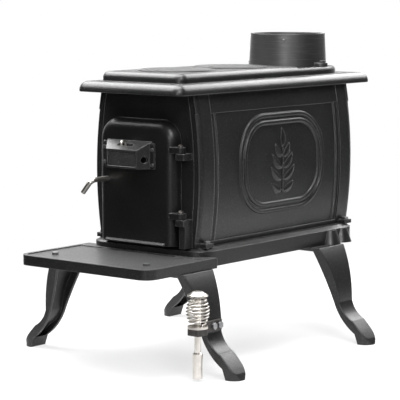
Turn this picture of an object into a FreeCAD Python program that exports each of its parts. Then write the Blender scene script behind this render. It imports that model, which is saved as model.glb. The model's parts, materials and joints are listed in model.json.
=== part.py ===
import FreeCAD, Part
import math
import operator
import os
import Sketcher
from FreeCAD import Placement, Rotation, Vector
from types import SimpleNamespace

# A small cast iron box stove on four cabriole legs, in millimetres.
# +Z is up, the fire door faces -Y, and the origin is on the floor under the middle of the stove.

# Driving dimensions: name, size, meaning
SIZES = [
    ("wall", 6, "thickness of the castings"),
    ("seam", 0.25, "gap where two castings fit together"),
    ("run_gap", 0.4, "gap around pieces that turn or slide"),
    ("leg_height", 196, "sole to the underside of the base plate"),
    ("arm_thickness", 12, "arms and pads that carry the hearth and the legs"),
    ("skirt_height", 30, "skirt of the base plate"),
    ("ledge_rise", 6, "height of the sloped ledge round the shell"),
    ("ledge_run", 12, "width of the sloped ledge"),
    ("shell_front", -200, "Y of the front plate's face"),
    ("shell_length", 520, "front face to rear face of the shell"),
    ("shell_height", 299, "base plate to top plate"),
    ("shell_head", 121, "half width of the shell at its top"),
    ("shell_foot", 124.5, "half width of the shell at its foot"),
    ("bow_radius", 815, "bow of the shell's sides"),
    ("pilaster_width", 44, "corner pilasters along Y"),
    ("pilaster_depth", 16, "corner pilasters across X"),
    ("corner_round", 12, "round of the shell's outer corners"),
    ("field_drop", 4, "side field below the pilasters"),
    ("frieze_height", 38, "raised band under the top plate"),
    ("frieze_rise", 2, "raised band above the field"),
    ("plinth_height", 9, "moulding at the foot of the field"),
    ("plinth_rise", 4, "moulding above the field"),
    ("oval_shift", 13, "Y of the oval ring from the shell's middle"),
    ("oval_level", 149, "middle of the oval ring above the base plate"),
    ("oval_length", 288, "oval ring along Y"),
    ("oval_height", 204, "oval ring along Z"),
    ("oval_round", 86, "corner radius of the oval ring"),
    ("oval_band", 24, "width of the ring over its two beads"),
    ("oval_bead", 10, "width of each bead of the ring"),
    ("oval_rise", 4.5, "ring above the field"),
    ("oval_edge", 4, "round of the beads' edges"),
    ("bead_gap", 12, "bead beside a pilaster"),
    ("bead_width", 4, "bead along Y"),
    ("bead_rise", 2, "bead above the field"),
    ("lug_width", 24, "bolting lugs at the pilasters' feet"),
    ("lug_reach", 18, "bolting lugs out from the shell"),
    ("lug_height", 8, "thickness of the bolting lugs"),
    ("base_width", 300, "base plate over its skirt"),
    ("base_front", -212, "Y of the base plate's front edge"),
    ("base_overhang", 2, "base plate past the rear plate"),
    ("base_rear_round", 40, "rear corners of the base plate"),
    ("base_front_round", 44, "front corners of the base plate"),
    ("arm_reach", 50, "arms and pads inwards from the skirt's face"),
    ("lobe_foot", 24, "radius of the rear lobes at the bottom"),
    ("lobe_head", 14, "radius of the rear lobes at the top"),
    ("lobe_inset", 4, "lobe centres inside the skirt's face"),
    ("lobe_setback", 52, "rear lobe from the base plate's rear edge"),
    ("lobe_pitch", 46, "spacing of the two lobes"),
    ("hearth_lip", 18, "hearth shelf past the base plate's sides"),
    ("hearth_front", -394.5, "Y of the hearth shelf's front edge"),
    ("hearth_wrap", 25, "hearth shelf beside the base plate"),
    ("hearth_height", 20, "skirt of the hearth shelf"),
    ("hearth_round", 26, "front corners of the hearth shelf"),
    ("hearth_edge", 8, "width of the hearth's raised edge"),
    ("hearth_dip", 2, "hearth tray below its raised edge"),
    ("hearth_bolt_x", 118, "hearth bolts from the middle"),
    ("hearth_bolt_y", -340, "Y of the hearth bolts"),
    ("arm_half", 8, "half width of the arms under the hearth"),
    ("rim_width", 270, "top plate along X"),
    ("rim_front", -260.5, "Y of the top plate's front edge"),
    ("rim_length", 655, "top plate along Y"),
    ("rim_height", 21, "rolled rim of the top plate"),
    ("rim_corner", 20, "corners of the top plate"),
    ("rim_roll", 18, "round of the rim's upper edge"),
    ("rim_under_roll", 2, "round of the rim's lower edge"),
    ("platform_width", 212, "raised platform along X"),
    ("platform_front", -222, "Y of the platform's front edge"),
    ("platform_rear", 358, "Y of the platform's rear edge"),
    ("platform_rise", 15, "platform above the rim"),
    ("platform_corner", 20, "front corners of the platform"),
    ("platform_tail", 88, "rear corners of the platform"),
    ("platform_roll", 13, "round of the platform's edge"),
    ("pad_rise", 4, "lid pad above the collar pad"),
    ("pad_rear", 168, "Y of the lid pad's rear edge"),
    ("lid_diameter", 155, "cook lids"),
    ("lid_front", -107, "Y of the front lid"),
    ("lid_spacing", 173, "between the two lids"),
    ("lid_thickness", 6, "rim of a lid"),
    ("lid_proud", 3, "crown of a lid above the lid pad"),
    ("lid_ledge", 9, "ledge that carries a lid"),
    ("lid_plug", 5, "plug under a lid"),
    ("collar_y", 270, "Y of the flue collar"),
    ("collar_top", 160, "outside of the collar at its mouth"),
    ("collar_foot", 167, "outside of the collar at its foot"),
    ("collar_bore", 148, "bore for the crimped end of a stove pipe"),
    ("collar_height", 70, "flue collar"),
    ("ear_reach", 102, "collar ears from the middle"),
    ("ear_width", 30, "collar ears along Y"),
    ("ear_height", 8, "thickness of the collar ears"),
    ("ear_bolt", 92, "collar bolts from the middle"),
    ("opening_left", -94, "X of the fire opening's left side"),
    ("opening_right", 72, "X of the fire opening's right side"),
    ("opening_sill", 20, "fire opening above the base plate"),
    ("opening_height", 204, "fire opening"),
    ("door_lap_left", 10, "door past the opening's left side"),
    ("door_lap_right", 17, "door past the opening's right side"),
    ("door_lap_top", 24, "door past the opening's head"),
    ("door_lap_sill", 18, "door past the opening's sill"),
    ("door_depth", 27.5, "door's front face from its seat"),
    ("door_corner", 42, "upper corners of the door"),
    ("door_shoulder", 20, "round of the door's shoulders"),
    ("door_seat", 9, "width of the door's seating edge"),
    ("door_drip", 3, "sloped ledge along the door's foot"),
    ("pin_x", 101, "X of the door's hinge pins"),
    ("pin_y", -217, "Y of the door's hinge pins"),
    ("pin_radius", 4.5, "hinge pins"),
    ("knuckle_radius", 10.5, "hinge knuckles"),
    ("knuckle_height", 12, "hinge knuckles along Z"),
    ("hinge_arm", 15, "hinge arms past the pin"),
    ("hinge_low", 56, "lower hinge above the base plate"),
    ("hinge_span", 129, "between the two hinges"),
    ("box_x", -20, "X of the air box"),
    ("box_sill", 152, "air box above the base plate"),
    ("box_width", 116, "air box at the door"),
    ("box_face", 80, "air box at its face"),
    ("box_height", 54, "air box at the door"),
    ("box_brow", 17, "fall of the air box's sloped top"),
    ("box_depth", 26, "air box out from the door"),
    ("box_wall", 4, "wall of the air box"),
    ("box_flange", 8, "flange beside the air box"),
    ("air_hole", 6.5, "radius of the air holes in the box"),
    ("air_travel", 16, "air slide to either side"),
    ("slide_width", 34, "air slide along X"),
    ("slide_height", 28, "air slide along Z"),
    ("slide_thickness", 3, "air slide"),
    ("hook_radius", 2.4, "wire of the air control hook"),
    ("hook_rise", 45, "hook above the slide's lower edge"),
    ("hook_step", 9, "hook out from the slide"),
    ("hook_reach", 13, "hook's curl"),
    ("hook_drop", 9, "hook's tip"),
    ("hook_bend", 5, "bends of the hook"),
    ("latch_x", -80, "X of the latch rod"),
    ("latch_level", 126, "latch rod above the base plate"),
    ("latch_radius", 5, "latch rod"),
    ("latch_reach", 47, "latch rod out from the door"),
    ("latch_arm", 34, "latch rod past its bend"),
    ("latch_fall", 229, "direction of the latch arm in degrees"),
    ("latch_bend", 11, "bend of the latch rod"),
    ("cam_length", 26, "latch cam"),
    ("cam_width", 13, "latch cam"),
    ("cam_thickness", 5, "latch cam"),
    ("bolt_radius", 4, "casting bolts"),
    ("bolt_head", 7, "half width of the bolt heads over corners"),
    ("bolt_head_height", 5, "bolt heads"),
    ("bolt_fit", 0.25, "bolt holes round their bolts"),
    ("leg_front_y", -250, "Y of the front legs"),
    ("leg_rear_y", 194, "Y of the rear legs"),
    ("leg_head_x", 172, "outer face of a leg at its top"),
    ("leg_head_half", 47, "half width of a leg at its top"),
    ("leg_ankle_half", 25, "half width of a leg at its ankle"),
    ("leg_toe_half", 21, "half width of a leg's toe"),
    ("ankle_x", 210, "outer face of a leg at its ankle"),
    ("ankle_level", 84, "height of a leg's ankle"),
    ("instep_x", 241, "outer face of a leg at its instep"),
    ("instep_level", 48, "height of a leg's instep"),
    ("shin_bulge", 8, "bow of a leg's shin"),
    ("ankle_hollow", 5, "hollow of a leg between ankle and instep"),
    ("toe_bulge", 1, "bow of a leg's foot"),
    ("calf_hollow", 3, "hollow of a leg's sides below the top"),
    ("toe_x", 280, "tip of a leg's toe"),
    ("toe_band", 13, "upright band round the toe"),
    ("toe_lean", 6, "toe band's foot past its top"),
    ("heel_x", 254, "back of the sole"),
    ("heel_rise", 21, "back of the toe block"),
    ("heel_lean", 7, "back of the toe block past its foot"),
    ("arch_x", 215, "inner edge of a leg under its instep"),
    ("arch_level", 50, "height of that inner edge"),
    ("leg_flange", 18, "depth of a leg's flanges at the top"),
    ("ankle_flange", 13, "depth of a leg's flanges at the ankle"),
    ("leg_wall", 6, "wall of a leg"),
    ("leg_round", 3, "round of a leg's outer edges"),
    ("foot_plate", 8, "plate at the top of a leg"),
    ("foot_plate_reach", 62, "plate at the top of a leg, inwards"),
    ("leg_bolt_x", 133, "leg bolts from the middle"),
    ("handle_x", 216, "X of the stored handle"),
    ("handle_y", -307, "Y of the stored handle"),
    ("bracket_level", 101, "shelf of the handle bracket"),
    ("bracket_height", 13, "handle bracket along Z"),
    ("bracket_half", 15, "half width of the bracket's eye block"),
    ("bracket_eye", 10.5, "radius of the bracket's eye"),
    ("strap_thickness", 5, "bracket strap on the leg"),
    ("strap_rise", 7, "strap above the bracket's shelf"),
    ("strap_rear", -232, "Y of the strap's rear end"),
    ("strap_bolt_rear", -240, "Y of the rear strap bolt"),
    ("strap_bolt_pitch", 18, "between the strap bolts"),
    ("ferrule_floor", 2, "floor of the cups at the coil's ends"),
    ("ferrule_rim", 2.5, "rim of the cups at the coil's ends"),
    ("ferrule_wall", 1.5, "wall of the cups at the coil's ends"),
    ("cap_crown", 6, "crown of the handle's cap above the coil"),
    ("ferrule_play", 1.5, "room round the coil's ends in their cups"),
    ("coil_radius", 21.5, "wire centre of the coil at its middle"),
    ("coil_end_radius", 15, "wire centre of the coil at its ends"),
    ("coil_wire", 3, "diameter of the coil's wire"),
    ("coil_pitch", 6.4, "rise of one turn of the coil"),
    ("coil_turns", 7.5, "turns of the coil"),
    ("coil_lead", 7, "rise of the coil's wire from its seat into the turns"),
    ("rod_radius", 6.3, "handle rod"),
    ("rod_drop", 46, "handle rod below the bracket's shelf"),
    ("socket_radius", 9.5, "handle socket"),
    ("socket_length", 50, "handle socket"),
    ("socket_depth", 40, "bore of the handle socket"),
    ("grate_width", 176, "fire grate along X"),
    ("grate_front", -140, "Y of the grate's front edge"),
    ("grate_length", 380, "fire grate along Y"),
    ("grate_height", 12, "fire grate"),
    ("grate_foot", 8, "feet under the grate"),
    ("grate_slot", 14, "slots in the grate"),
    ("grate_pitch", 28, "spacing of the grate's slots"),
    ("grate_border", 20, "solid border of the grate"),
]

OPERATIONS = {"+": operator.add, "-": operator.sub, "*": operator.mul, "/": operator.truediv}
TURN_TO = {"x": Rotation(Vector(0, 1, 0), 90), "y": Rotation(Vector(1, 0, 0), -90), "z": Rotation()}
SIDES = {"right": 1, "left": -1}


class Term:
    """A size: its number, and the sheet expression that gives it."""

    def __init__(self, number, text):
        self.number = number
        self.text = text

    def __float__(self):
        return float(self.number)

    def __add__(self, other):
        return combine(self, "+", other)

    def __radd__(self, other):
        return combine(other, "+", self)

    def __sub__(self, other):
        return combine(self, "-", other)

    def __rsub__(self, other):
        return combine(other, "-", self)

    def __mul__(self, other):
        return combine(self, "*", other)

    def __rmul__(self, other):
        return combine(other, "*", self)

    def __truediv__(self, other):
        return combine(self, "/", other)

    def __neg__(self):
        return combine(0, "-", self)


def as_term(value):
    return value if isinstance(value, Term) else Term(value, str(value))


def combine(left, sign, right):
    left = as_term(left)
    right = as_term(right)
    number = OPERATIONS[sign](left.number, right.number)
    return Term(number, f"({left.text} {sign} {right.text})")


doc = FreeCAD.newDocument("box_stove")
sheet = doc.addObject("Spreadsheet::Sheet", "sizes")
for row, (alias, number, meaning) in enumerate(SIZES, start=1):
    sheet.set(f"A{row}", meaning)
    sheet.set(f"B{row}", str(number))
    sheet.setAlias(f"B{row}", alias)
doc.recompute()
d = SimpleNamespace(**{alias: Term(number, f"sizes.{alias}") for alias, number, _ in SIZES})
nodes = []

# Levels and places that several pieces share
skirt_level = d.leg_height
ledge_level = skirt_level + d.skirt_height
shell_level = ledge_level + d.ledge_rise
rim_level = shell_level + d.shell_height
platform_level = rim_level + d.rim_height
collar_level = platform_level + d.platform_rise
lid_level = collar_level + d.pad_rise
hearth_level = skirt_level + d.hearth_height
shell_rear = d.shell_front + d.shell_length
base_rear = shell_rear + d.base_overhang
hearth_rear = d.base_front + d.hearth_wrap
rim_rear = d.rim_front + d.rim_length
door_back = d.shell_front - d.run_gap
door_face = door_back - d.door_depth
opening_low = shell_level + d.opening_sill
opening_high = opening_low + d.opening_height
box_low = shell_level + d.box_sill
latch_z = shell_level + d.latch_level
hole_radius = d.bolt_radius + d.bolt_fit
plate_under = ledge_level - d.wall / 2
front_inner = d.shell_front + d.wall
lug_x = d.shell_foot + d.lug_reach - d.bolt_head - d.bolt_fit
lug_y = d.pilaster_width / 2
lug_places = [d.shell_front + lug_y, shell_rear - lug_y]
leg_places = {"front": d.leg_front_y, "rear": d.leg_rear_y}
coil_low = d.bracket_level + d.ferrule_floor
coil_high = coil_low + 2 * d.coil_lead + d.coil_pitch * d.coil_turns
ferrule_bore = d.coil_end_radius + d.coil_wire / 2 + d.ferrule_play
ferrule_radius = ferrule_bore + d.ferrule_wall


# Helpers that make document objects whose sizes follow the sheet
def bind(item, path, value):
    item.setExpression(path, as_term(value).text)


def node(item, label):
    item.Label = label
    nodes.append(item)
    return item


def place(item, x=0, y=0, z=0):
    for axis, value in (("x", x), ("y", y), ("z", z)):
        bind(item, f"Placement.Base.{axis}", value)


def box(name, x, y, z):
    item = doc.addObject("Part::Box", name)
    for side, (low, high) in (("Length", x), ("Width", y), ("Height", z)):
        bind(item, side, high - low)
    place(item, x[0], y[0], z[0])
    return item


def rod(name, start, axis, radius, length):
    item = doc.addObject("Part::Cylinder", name)
    bind(item, "Radius", radius)
    bind(item, "Height", length)
    item.Placement = Placement(Vector(), TURN_TO[axis])
    place(item, *start)
    return item


def hexagon(name, start, axis, radius, length):
    item = doc.addObject("Part::Prism", name)
    item.Polygon = 6
    bind(item, "Circumradius", radius)
    bind(item, "Height", length)
    item.Placement = Placement(Vector(), TURN_TO[axis])
    place(item, *start)
    return item


def fuse(name, items):
    item = doc.addObject("Part::MultiFuse", name)
    item.Shapes = items
    item.Refine = True
    return item


def cut(name, base, tools):
    item = doc.addObject("Part::Cut", name)
    item.Base = base
    item.Tool = tools[0] if len(tools) == 1 else fuse(f"{name}_tools", tools)
    item.Refine = True
    return item


def group(name, items):
    item = doc.addObject("Part::Compound", name)
    item.Links = items
    return item


def feature(name, shape):
    item = doc.addObject("Part::Feature", name)
    item.Shape = shape
    return item


def new_body(label, is_node=True):
    body = doc.addObject("PartDesign::Body", label)
    return node(body, label) if is_node else body


def new_sketch(body, plane, level):
    sketch = body.newObject("Sketcher::SketchObject", f"{body.Name}_sketch")
    support = [item for item in body.Origin.OriginFeatures if item.Role == plane]
    sketch.AttachmentSupport = [(support[0], "")]
    sketch.MapMode = "FlatFace"
    bind(sketch, "AttachmentOffset.Base.z", level)
    return sketch


def pin_point(sketch, geometry, vertex, u, v):
    for kind, value, axis in (("DistanceX", u, -2), ("DistanceY", v, -1)):
        if not isinstance(value, Term):
            sketch.addConstraint(Sketcher.Constraint("PointOnObject", geometry, vertex, axis))
            continue
        index = sketch.addConstraint(Sketcher.Constraint(kind, -1, 1, geometry, vertex, float(value)))
        bind(sketch, f"Constraints[{index}]", value)


def polygon(body, plane, level, corners):
    """A closed sketch of straight sides whose corners follow the sheet."""
    sketch = new_sketch(body, plane, level)
    points = [Vector(float(u), float(v), 0) for u, v in corners]
    count = len(points)
    for index, start in enumerate(points):
        sketch.addGeometry(Part.LineSegment(start, points[(index + 1) % count]), False)
    for index in range(count):
        sketch.addConstraint(Sketcher.Constraint("Coincident", index, 2, (index + 1) % count, 1))
    for index, (u, v) in enumerate(corners):
        pin_point(sketch, index, 1, u, v)
    return sketch


def rectangle(body, plane, level, u, v):
    return polygon(body, plane, level, [(u[0], v[0]), (u[1], v[0]), (u[1], v[1]), (u[0], v[1])])


def circle(body, plane, level, u, v, radius):
    sketch = new_sketch(body, plane, level)
    disc = Part.Circle(Vector(float(u), float(v), 0), Vector(0, 0, 1), float(radius))
    index = sketch.addGeometry(disc, False)
    pin_point(sketch, index, 3, u, v)
    number = sketch.addConstraint(Sketcher.Constraint("Radius", index, float(radius)))
    bind(sketch, f"Constraints[{number}]", radius)
    return sketch


def settle(item):
    doc.recompute()
    if not item.isValid():
        raise RuntimeError(f"{item.Name} fails: {item.getStatusString()}")


def pad(body, sketch, length, reverse=False):
    item = body.newObject("PartDesign::Pad", f"{body.Name}_pad")
    item.Profile = sketch
    bind(item, "Length", length)
    item.Reversed = reverse
    return item


def pocket(body, sketch, depth, reverse=False):
    """A pocket that has to take something away."""
    doc.recompute()
    before = body.Shape.Volume
    item = body.newObject("PartDesign::Pocket", f"{body.Name}_pocket")
    item.Profile = sketch
    bind(item, "Length", depth)
    item.Reversed = reverse
    settle(item)
    if body.Shape.Volume >= before:
        raise RuntimeError(f"{item.Name} cuts nothing")
    return item


def revolve(body, corners):
    sketch = polygon(body, "XZ_Plane", 0, corners)
    item = body.newObject("PartDesign::Revolution", f"{body.Name}_revolution")
    item.Profile = sketch
    item.ReferenceAxis = (sketch, ["V_Axis"])
    return item


def round_edges(body, radius, wanted):
    doc.recompute()
    tip = body.Tip
    edges = [f"Edge{index}" for index, edge in enumerate(tip.Shape.Edges, start=1) if wanted(edge)]
    if not edges:
        raise RuntimeError(f"{body.Label} has no edge to round")
    item = body.newObject("PartDesign::Fillet", f"{body.Name}_fillet")
    item.Base = (tip, edges)
    bind(item, "Radius", radius)
    settle(item)
    return item


def near(value, wanted):
    return abs(float(value) - float(wanted)) < 1e-4


def upright(edge):
    start, end = edge.firstVertex().Point, edge.lastVertex().Point
    return near(start.x, end.x) and near(start.y, end.y)


def upright_at(y):
    return lambda edge: upright(edge) and near(edge.CenterOfMass.y, y)


def at_level(z):
    return lambda edge: near(edge.BoundBox.ZMin, z) and near(edge.BoundBox.ZMax, z)


def at_y(y):
    return lambda edge: near(edge.BoundBox.YMin, y) and near(edge.BoundBox.YMax, y)


def bolt(name, foot, axis, grip, nut=True):
    """A bolt whose head starts at the far end of its grip, with a nut at its foot."""
    index = "xyz".index(axis)
    seat = list(foot)
    seat[index] = foot[index] + grip
    pieces = [rod(f"{name}_shank", foot, axis, d.bolt_radius, grip),
              hexagon(f"{name}_head", seat, axis, d.bolt_head, d.bolt_head_height)]
    if nut:
        under = list(foot)
        under[index] = foot[index] - d.bolt_head_height
        pieces.append(hexagon(f"{name}_nut", under, axis, d.bolt_head, d.bolt_head_height))
    return fuse(name, pieces)


# Bowed shell: every casting of it follows one arc, moved in or out
def bow_centre():
    foot = Vector(float(d.shell_foot), 0, float(shell_level))
    head = Vector(float(d.shell_head), 0, float(rim_level))
    chord = head - foot
    middle = (head + foot) / 2
    inward = Vector(-chord.z, 0, chord.x).normalize()
    return middle + inward * math.sqrt(float(d.bow_radius) ** 2 - (chord.Length / 2) ** 2)


def bow_x(z, shift):
    centre = bow_centre()
    return centre.x + math.sqrt(float(d.bow_radius) ** 2 - (z - centre.z) ** 2) + shift


def bow_point(z, shift, side=1):
    return Vector(side * bow_x(z, shift), 0, z)


def bow_edge(shift, low, high, side=1):
    points = [bow_point(z, shift, side) for z in (low, (low + high) / 2, high)]
    return Part.Arc(*points).toShape()


def between(first, second, front, rear):
    """A solid along Y between two edges that run up the shell."""
    foot = Part.makeLine(first.Vertexes[0].Point, second.Vertexes[0].Point)
    head = Part.makeLine(first.Vertexes[-1].Point, second.Vertexes[-1].Point)
    face = Part.Face(Part.Wire(Part.__sortEdges__([first, head, second, foot])))
    solid = face.extrude(Vector(0, rear - front, 0))
    solid.translate(Vector(0, front, 0))
    return solid


def slab(inner, outer, low, high, front, rear):
    return between(bow_edge(inner, low, high), bow_edge(outer, low, high), front, rear)


def rounded_prism(length, height, radius, middle, span):
    """A rounded rectangle in the YZ plane, drawn out along X."""
    block = Part.makeBox(span[1] - span[0], length, height,
                         Vector(span[0], middle.y - length / 2, middle.z - height / 2))
    corners = [edge for edge in block.Edges if near(edge.Length, span[1] - span[0])]
    return block.makeFillet(radius, corners)


def faces_out(edge, shift):
    """Whether an edge lies on the shell's bowed surface at a shift."""
    points = [edge.valueAt(edge.FirstParameter), edge.valueAt(edge.LastParameter)]
    return all(near(point.x, bow_x(point.z, shift)) for point in points)


def oval_bead(back, field, inset):
    """One rounded bead of a side panel's oval ring, drawn in by an inset."""
    low, high = float(shell_level), float(rim_level)
    front, rear = float(d.shell_front), float(shell_rear)
    middle = Vector(0, (front + rear) / 2 + float(d.oval_shift), low + float(d.oval_level))
    length, height = float(d.oval_length) - 2 * inset, float(d.oval_height) - 2 * inset
    radius = float(d.oval_round) - inset
    band = float(d.oval_bead)
    span = (float(d.shell_head) / 2, float(d.shell_head) * 2)
    outer = rounded_prism(length, height, radius, middle, span)
    inner = rounded_prism(length - 2 * band, height - 2 * band, radius - band, middle, span)
    crest = field + float(d.oval_rise)
    ring = outer.cut(inner).common(slab(back, crest, low, high, front, rear))
    return ring.makeFillet(float(d.oval_edge), [edge for edge in ring.Edges if faces_out(edge, crest)])


def pilaster(start, outer_end):
    """A corner pilaster with its outer corner rounded."""
    width = float(d.pilaster_width)
    band = slab(-float(d.pilaster_depth), 0, float(shell_level), float(rim_level), start, start + width)
    corner = [edge for edge in band.Edges if at_y(outer_end)(edge) and faces_out(edge, 0)]
    return band.makeFillet(float(d.corner_round), corner)


def side_panel():
    low, high = float(shell_level), float(rim_level)
    front, rear = float(d.shell_front), float(shell_rear)
    width = float(d.pilaster_width)
    field = -float(d.field_drop)
    back = field - float(d.wall)
    panel = slab(back, field, low, high, front, rear)
    pieces = [slab(back, field + float(d.frieze_rise), high - float(d.frieze_height), high, front, rear),
              slab(back, field + float(d.plinth_rise), low, low + float(d.plinth_height), front, rear),
              oval_bead(back, field, 0), oval_bead(back, field, float(d.oval_band - d.oval_bead)),
              pilaster(front, front), pilaster(rear - width, rear)]
    bead = float(d.bead_width)
    reach = width + float(d.bead_gap)
    for start in (front + reach, rear - reach - bead):
        pieces.append(slab(back, field + float(d.bead_rise), low, high, start, start + bead))
    half = float(d.lug_width) / 2
    inside = bow_x(low, -float(d.pilaster_depth))
    outside = bow_x(low, float(d.lug_reach))
    holes = []
    for y in (float(place) for place in lug_places):
        pieces.append(Part.makeBox(outside - inside, 2 * half, float(d.lug_height),
                                   Vector(inside, y - half, low)))
        holes.append(Part.makeCylinder(float(hole_radius), float(d.lug_height), Vector(float(lug_x), y, low)))
    return panel.multiFuse(pieces).cut(holes).removeSplitter()


def end_plate(front):
    """A plate that closes the shell between the pilasters."""
    shift = -float(d.pilaster_depth + d.seam)
    low, high = float(shell_level), float(rim_level)
    right = bow_edge(shift, low, high)
    left = bow_edge(shift, low, high, side=-1)
    return between(left, right, front, front + float(d.wall))


# Side panels, their bolts and the rear plate
panel_shape = side_panel()
node(feature("side_panel_right", panel_shape), "side_panel_right")
node(feature("side_panel_left", panel_shape.mirror(Vector(), Vector(1, 0, 0))), "side_panel_left")
node(feature("rear_plate", end_plate(float(shell_rear - d.wall))), "rear_plate")

panel_bolts = [bolt(f"panel_bolt_{side}_{index}", (sign * lug_x, y, plate_under), "z",
                    shell_level - plate_under + d.lug_height, nut=False)
               for side, sign in SIDES.items() for index, y in enumerate(lug_places)]
node(group("panel_bolts", panel_bolts), "panel_bolts")


# Front plate with the fire opening, hinge knuckles and the lower hinge's post
def knuckle(name, level):
    """A hinge knuckle round the pin, with its arm on the front plate's face."""
    round_end = rod(f"{name}_eye", (d.pin_x, d.pin_y, level), "z", d.knuckle_radius, d.knuckle_height)
    arm = box(f"{name}_arm", (d.pin_x, d.pin_x + d.hinge_arm), (d.pin_y - d.knuckle_radius, d.shell_front),
              (level, level + d.knuckle_height))
    return [round_end, arm]


hinge_levels = {"lower": shell_level + d.hinge_low, "upper": shell_level + d.hinge_low + d.hinge_span}
post_left = d.pin_x + d.run_gap
front_blank = feature("front_blank", end_plate(float(d.shell_front)))
opening_cut = box("opening_cut", (d.opening_left, d.opening_right),
                  (d.shell_front - d.wall, front_inner + d.wall), (opening_low, opening_high))
front_pieces = [cut("front_opened", front_blank, [opening_cut])]
pin_holes = []
for name, level in hinge_levels.items():
    frame_level = level - d.knuckle_height
    front_pieces += knuckle(f"frame_{name}", frame_level)
    pin_holes.append(rod(f"frame_hole_{name}", (d.pin_x, d.pin_y, frame_level), "z", d.pin_radius,
                         d.knuckle_height))
front_pieces.append(box("hinge_post", (post_left, d.pin_x + d.hinge_arm),
                        (d.pin_y - d.knuckle_radius / 2, d.shell_front),
                        (shell_level, hinge_levels["lower"] - d.knuckle_height)))
node(cut("front_plate", fuse("front_whole", front_pieces), pin_holes), "front_plate")

# Hinge pins with domed heads
for name, level in hinge_levels.items():
    shank = rod(f"pin_shank_{name}", (d.pin_x, d.pin_y, level - d.knuckle_height), "z", d.pin_radius,
                2 * d.knuckle_height + 2 * d.run_gap)
    head = doc.addObject("Part::Sphere", f"pin_head_{name}")
    bind(head, "Radius", d.pin_radius + 4 * d.run_gap)
    head.Angle1 = 0
    place(head, d.pin_x, d.pin_y, level + d.knuckle_height + 2 * d.run_gap)
    node(fuse(f"hinge_pin_{name}", [shank, head]), f"hinge_pin_{name}")

# Base plate: skirt, sloped ledge, rear lobes, arms under the hearth and pads over the rear legs
def base_plan(inset, level):
    """The base plate's outline, with round corners, drawn in by an inset."""
    half = float(d.base_width) / 2 - inset
    front = float(d.base_front) + inset
    rear = float(base_rear) - inset
    ahead = float(d.base_front_round) - inset
    behind = float(d.base_rear_round) - inset
    nook = 1 - math.sqrt(0.5)
    right = [Vector(half - ahead, front, level), Vector(half - nook * ahead, front + nook * ahead, level),
             Vector(half, front + ahead, level), Vector(half, rear - behind, level),
             Vector(half - nook * behind, rear - nook * behind, level), Vector(half - behind, rear, level)]
    left = [Vector(-point.x, point.y, level) for point in right[::-1]]
    return Part.Wire([Part.makeLine(left[5], right[0]), Part.Arc(*right[:3]).toShape(),
                      Part.makeLine(right[2], right[3]), Part.Arc(*right[3:]).toShape(),
                      Part.makeLine(right[5], left[0]), Part.Arc(*left[:3]).toShape(),
                      Part.makeLine(left[2], left[3]), Part.Arc(*left[3:]).toShape()])


def base_core():
    skirt_low, ledge_low, top_face = float(skirt_level), float(ledge_level), float(shell_level)
    skirt = Part.Face(base_plan(0, skirt_low)).extrude(Vector(0, 0, ledge_low - skirt_low))
    ledge = Part.makeLoft([base_plan(0, ledge_low), base_plan(float(d.ledge_run), top_face)], True, True)
    room_height = float(plate_under) - skirt_low
    room = Part.Face(base_plan(float(d.wall), skirt_low)).extrude(Vector(0, 0, room_height))
    return skirt.fuse(ledge).cut(room).removeSplitter()


def across(sign, span):
    ends = (sign * span[0], sign * span[1])
    return ends if sign > 0 else ends[::-1]


half_base = d.base_width / 2
base_pieces = [feature("base_core", base_core())]
base_holes = []
arm_level = skirt_level + d.arm_thickness
pad_span = (half_base - d.arm_reach, half_base - d.wall / 2)
arm_span = (d.hearth_bolt_x - d.arm_half, d.hearth_bolt_x + d.arm_half)
arm_root = d.base_front + 3 * d.wall
half_pad = d.leg_head_half - d.leg_wall
pad_ends = (d.leg_rear_y - half_pad, d.leg_rear_y + half_pad)
for side, sign in SIDES.items():
    base_pieces.append(box(f"front_pad_{side}", across(sign, pad_span), (d.leg_front_y - half_pad, arm_root),
                           (skirt_level, arm_level)))
    base_pieces.append(box(f"arm_{side}", across(sign, arm_span), (d.hearth_bolt_y - d.arm_half, arm_root),
                           (skirt_level, arm_level)))
    base_pieces.append(box(f"rear_pad_{side}", across(sign, pad_span), pad_ends, (skirt_level, arm_level)))
    for index, y in enumerate((pad_ends[0], pad_ends[1] - d.wall)):
        base_pieces.append(box(f"pad_rib_{side}_{index}", across(sign, pad_span), (y, y + d.wall),
                               (skirt_level, ledge_level)))
    for index in range(2):
        lobe = doc.addObject("Part::Cone", f"lobe_{side}_{index}")
        bind(lobe, "Radius1", d.lobe_foot)
        bind(lobe, "Radius2", d.lobe_head)
        bind(lobe, "Height", d.skirt_height)
        place(lobe, sign * (half_base - d.lobe_inset - index * d.lobe_inset),
              base_rear - d.lobe_setback - (1 - index) * d.lobe_pitch, skirt_level)
        base_pieces.append(lobe)
    for name, y in leg_places.items():
        base_holes.append(rod(f"leg_hole_{name}_{side}", (sign * d.leg_bolt_x, y, skirt_level), "z",
                              hole_radius, d.arm_thickness))
    base_holes.append(rod(f"hearth_hole_{side}", (sign * d.hearth_bolt_x, d.hearth_bolt_y, skirt_level), "z",
                          hole_radius, d.arm_thickness))
    for index, y in enumerate(lug_places):
        base_holes.append(rod(f"lug_hole_{side}_{index}", (sign * lug_x, y, plate_under), "z",
                              hole_radius, shell_level - plate_under))
node(cut("base_plate", fuse("base_whole", base_pieces), base_holes), "base_plate")

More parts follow.
